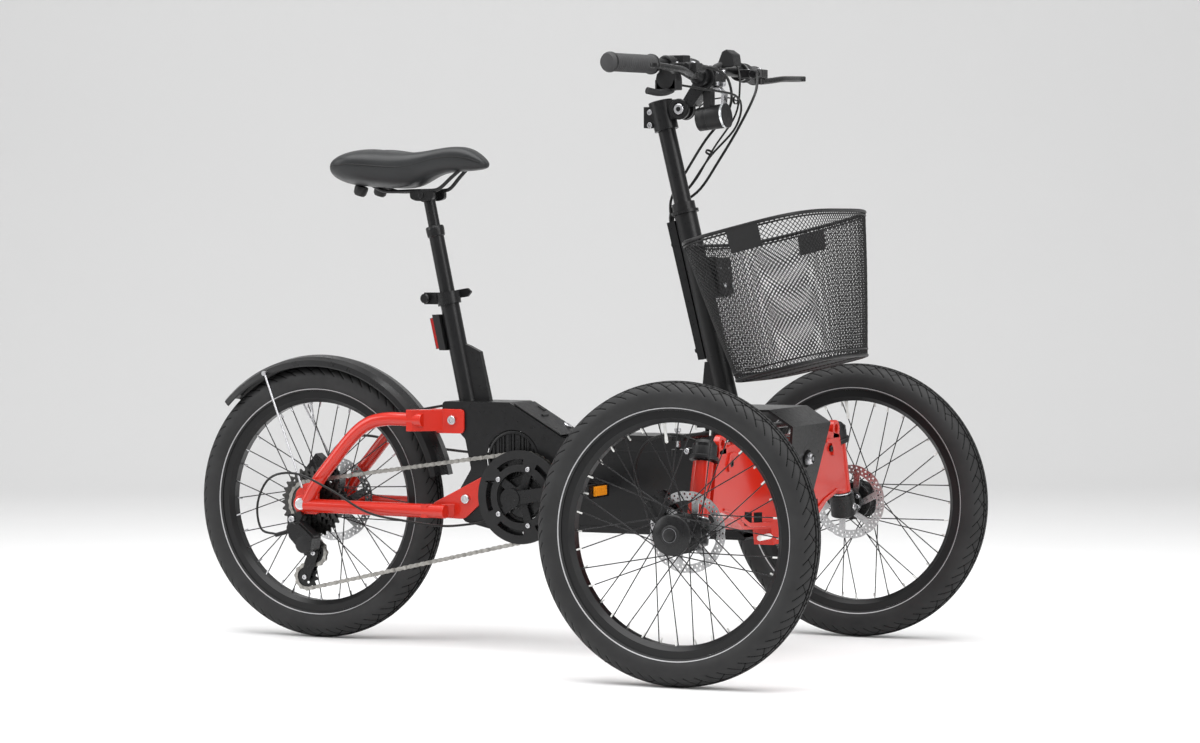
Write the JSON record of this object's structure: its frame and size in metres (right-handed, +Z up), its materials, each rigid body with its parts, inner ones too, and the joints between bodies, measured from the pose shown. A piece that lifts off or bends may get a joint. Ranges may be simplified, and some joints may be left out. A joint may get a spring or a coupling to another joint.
{
  "type": "adult tricycle",
  "caption": "Electric adult tricycle with a front-mounted wire basket, a tilting steered front axle, a mid motor and a chain drive to the rear wheel.",
  "frame": {"origin": "on the ground, midway between the rear and front axles, on the middle plane", "axes": "+X forward, +Z up, -Y the rider's right"},
  "size_m": [1.4409, 0.894, 1.0917],
  "materials": {
    "frame_black": "satin powder coat",
    "red_paint": "satin powder coat",
    "tyre": "matt rubber with a light band on the side wall",
    "black_alloy": "anodised",
    "silver": "brushed",
    "chain_steel": "oiled",
    "black_plastic": "moulded",
    "grip_rubber": "matt",
    "saddle_vinyl": "grained vinyl",
    "lamp": "clear red over black",
    "cable_sheath": "smooth"
  },
  "bodies": {
    "frame": {"frame_box": "frame_black", "front_beam": "frame_black", "seat_tube": "frame_black", "rear_fork": "red_paint", "fasteners": "silver", "head_tube": "frame_black", "cable_channel": "black_plastic", "nose_bracket": "frame_black", "battery_pack": "black_plastic", "motor": "black_alloy", "mudguard": "black_plastic", "mudguard_stays": "silver", "rear_light": "lamp", "seat_clamp": "black_alloy", "basket": "frame_black", "basket_bracket": "frame_black", "rear_caliper": "black_alloy", "derailleur": "black_alloy", "chain": "chain_steel", "cables": "cable_sheath"},
    "clamp_lever": {"seat_clamp_lever": "black_plastic"},
    "catch": {"cover_latch": "black_plastic"},
    "upper_pulley": {"guide_pulley": "black_plastic"},
    "lower_pulley": {"tension_pulley": "black_plastic"},
    "rear_wheel": {"rear_tyre": "tyre", "rear_rim": "black_alloy", "rear_spokes": "black_alloy", "rear_hub": "black_alloy"},
    "sprockets": {"cassette": "black_alloy"},
    "crank": {"chainring": "black_alloy", "cranks": "black_alloy"},
    "right_pedal": {"pedal_right": "black_plastic"},
    "left_pedal": {"pedal_left": "black_plastic"},
    "front_axle": {"axle_casting": "red_paint"},
    "right_knuckle": {"knuckle_right": "black_alloy", "caliper_right": "black_alloy"},
    "left_knuckle": {"knuckle_left": "black_alloy", "caliper_left": "black_alloy"},
    "tie": {"track_rod": "black_alloy"},
    "right_wheel": {"tyre_right": "tyre", "rim_right": "black_alloy", "spokes_right": "black_alloy", "hub_right": "black_alloy"},
    "left_wheel": {"tyre_left": "tyre", "rim_left": "black_alloy", "spokes_left": "black_alloy", "hub_left": "black_alloy"},
    "steering": {"steerer": "frame_black"},
    "telescope": {"column": "frame_black"},
    "bars": {"stem": "black_alloy", "handlebar": "frame_black", "grips": "grip_rubber", "control_clamps": "black_plastic", "headlight": "black_plastic"},
    "right_lever": {"brake_lever_right": "black_alloy"},
    "left_lever": {"brake_lever_left": "black_alloy"},
    "shifter": {"shift_lever": "black_plastic"},
    "post": {"seat_post": "frame_black"},
    "seat": {"seat_head": "black_alloy", "saddle": "saddle_vinyl"}
  },
  "joints": [
    {"name": "crank_turn", "type": "hinge", "parent": "frame", "child": "crank", "pos_m": [-0.0105, 0, 0.282], "axis": [0, 1, 0], "continuous": true},
    {"name": "cassette_turn", "type": "hinge", "parent": "frame", "child": "sprockets", "pos_m": [-0.4625, 0, 0.258], "axis": [0, 1, 0], "continuous": true},
    {"name": "guide_pulley_turn", "type": "hinge", "parent": "frame", "child": "upper_pulley", "pos_m": [-0.4495, -0.049, 0.164], "axis": [0, 1, 0], "continuous": true},
    {"name": "tension_pulley_turn", "type": "hinge", "parent": "frame", "child": "lower_pulley", "pos_m": [-0.4685, -0.049, 0.118], "axis": [0, 1, 0], "continuous": true},
    {"name": "rear_wheel_turn", "type": "hinge", "parent": "frame", "child": "rear_wheel", "pos_m": [-0.4625, 0, 0.258], "axis": [0, 1, 0], "continuous": true},
    {"name": "pedal_right_turn", "type": "hinge", "parent": "crank", "child": "right_pedal", "pos_m": [0.15264, -0.15, 0.30667], "axis": [0, 1, 0], "continuous": true},
    {"name": "pedal_left_turn", "type": "hinge", "parent": "crank", "child": "left_pedal", "pos_m": [-0.17364, 0.15, 0.25733], "axis": [0, 1, 0], "continuous": true},
    {"name": "axle_tilt", "type": "hinge", "parent": "frame", "child": "front_axle", "pos_m": [0.4625, 0, 0.362], "axis": [1, 0, 0], "range_deg": [-10, 10], "stiffness_Nm_per_rad": 400},
    {"name": "steer", "type": "hinge", "parent": "frame", "child": "steering", "pos_m": [0.34141, 0, 0.6], "axis": [-0.2352, 0, 0.9719], "range_deg": [-25, 25], "deforming": ["cables"]},
    {"name": "kingpin_right", "type": "hinge", "parent": "front_axle", "child": "right_knuckle", "pos_m": [0.4625, -0.31908, 0.32], "axis": [0, 0.2696, 0.963], "range_deg": [-26, 26]},
    {"name": "kingpin_left", "type": "hinge", "parent": "front_axle", "child": "left_knuckle", "pos_m": [0.4625, 0.31908, 0.32], "axis": [0, -0.2696, 0.963], "range_deg": [-26, 26]},
    {"name": "track_rod_slide", "type": "slide", "parent": "front_axle", "child": "tie", "axis": [0, 1, 0], "range_m": [-0.0225, 0.0225]},
    {"name": "wheel_right_turn", "type": "hinge", "parent": "right_knuckle", "child": "right_wheel", "pos_m": [0.4625, -0.414, 0.258], "axis": [0, 1, 0], "continuous": true},
    {"name": "wheel_left_turn", "type": "hinge", "parent": "left_knuckle", "child": "left_wheel", "pos_m": [0.4625, 0.414, 0.258], "axis": [0, 1, 0], "continuous": true},
    {"name": "column_height", "type": "slide", "parent": "steering", "child": "telescope", "axis": [-0.2352, 0, 0.9719], "range_m": [-0.06, 0.06]},
    {"name": "bar_angle", "type": "hinge", "parent": "telescope", "child": "bars", "pos_m": [0.2885, 0, 0.985], "axis": [0, 1, 0], "range_deg": [-20, 25]},
    {"name": "brake_lever_right_pull", "type": "hinge", "parent": "bars", "child": "right_lever", "pos_m": [0.3755, -0.148, 1.038], "axis": [0, 0, -1], "range_deg": [0, 15], "stiffness_Nm_per_rad": 2.5, "springref_deg": -2.86},
    {"name": "brake_lever_left_pull", "type": "hinge", "parent": "bars", "child": "left_lever", "pos_m": [0.3755, 0.148, 1.038], "axis": [0, 0, 1], "range_deg": [0, 15], "stiffness_Nm_per_rad": 2.5, "springref_deg": -2.86},
    {"name": "shift_lever_push", "type": "hinge", "parent": "bars", "child": "shifter", "pos_m": [0.3495, -0.182, 1.008], "axis": [0, 0, 1], "range_deg": [-18, 18], "stiffness_Nm_per_rad": 0.6},
    {"name": "seat_height", "type": "slide", "parent": "frame", "child": "post", "axis": [-0.2121, 0, 0.9773], "range_m": [-0.09, 0.08]},
    {"name": "seat_spring", "type": "slide", "parent": "post", "child": "seat", "axis": [-0.2121, 0, 0.9773], "range_m": [-0.035, 0], "stiffness_N_per_m": 9000, "springref_m": 0.02},
    {"name": "clamp_lever_open", "type": "hinge", "parent": "frame", "child": "clamp_lever", "pos_m": [-0.2305, 0.02, 0.643], "axis": [0, 0, 1], "range_deg": [0, 110]},
    {"name": "catch_lift", "type": "hinge", "parent": "frame", "child": "catch", "pos_m": [0.00925, 0, 0.42873], "axis": [0, -1, 0], "range_deg": [0, 85]}
  ],
  "couplings": [
    {"joint": "cassette_turn", "follows": "crank_turn", "ratio": 2},
    {"joint": "guide_pulley_turn", "follows": "crank_turn", "ratio": -3.6364},
    {"joint": "tension_pulley_turn", "follows": "crank_turn", "ratio": 3.6364},
    {"joint": "kingpin_right", "follows": "steer", "ratio": 1},
    {"joint": "kingpin_left", "follows": "steer", "ratio": 1},
    {"joint": "track_rod_slide", "follows": "steer", "m_per_rad": -0.05}
  ]
}
